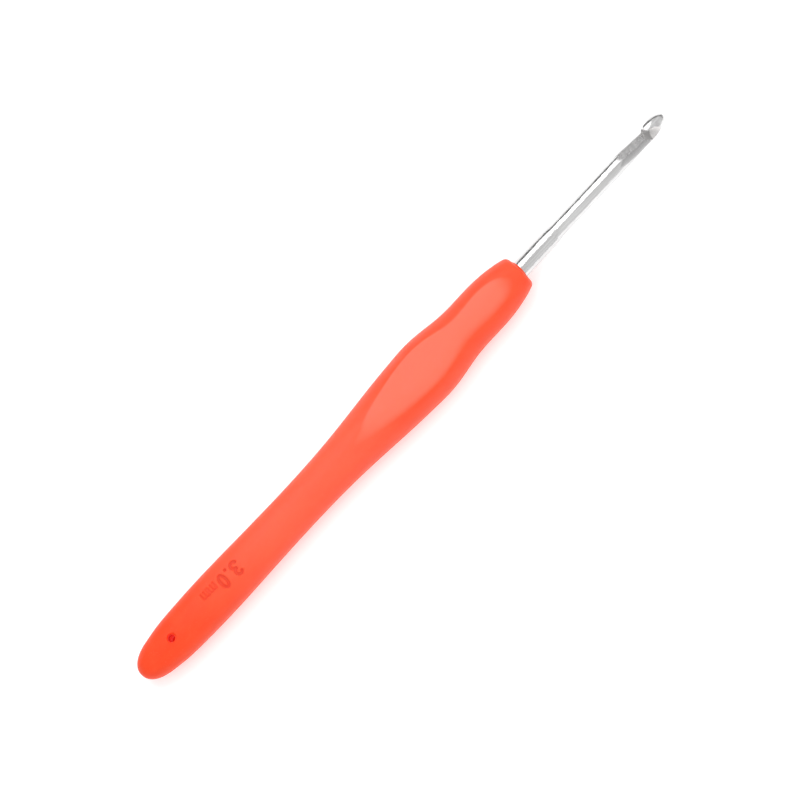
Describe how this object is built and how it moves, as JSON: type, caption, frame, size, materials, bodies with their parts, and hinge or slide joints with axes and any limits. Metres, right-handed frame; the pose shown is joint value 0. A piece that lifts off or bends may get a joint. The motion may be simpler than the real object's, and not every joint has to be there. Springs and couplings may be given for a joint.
{
  "type": "crochet hook",
  "caption": "Crochet hook with a hooked aluminium shaft in a long soft grip that has flat thumb panels and a small cord hole near its butt.",
  "frame": {"origin": "under the middle of the hook's length, on the flat surface that its back panel rests on", "axes": "+X along the hook towards its tip, +Z out of the front thumb panel, +Y across the grip"},
  "size_m": [0.14, 0.012, 0.0095],
  "materials": {
    "shaft_aluminium": "polished, with fine drawing lines",
    "core_plastic": "moulded, satin",
    "grip_rubber": "soft matte"
  },
  "bodies": {
    "root": {"hook_shaft": "shaft_aluminium", "handle_core": "core_plastic", "soft_grip": "grip_rubber"}
  },
  "joints": []
}
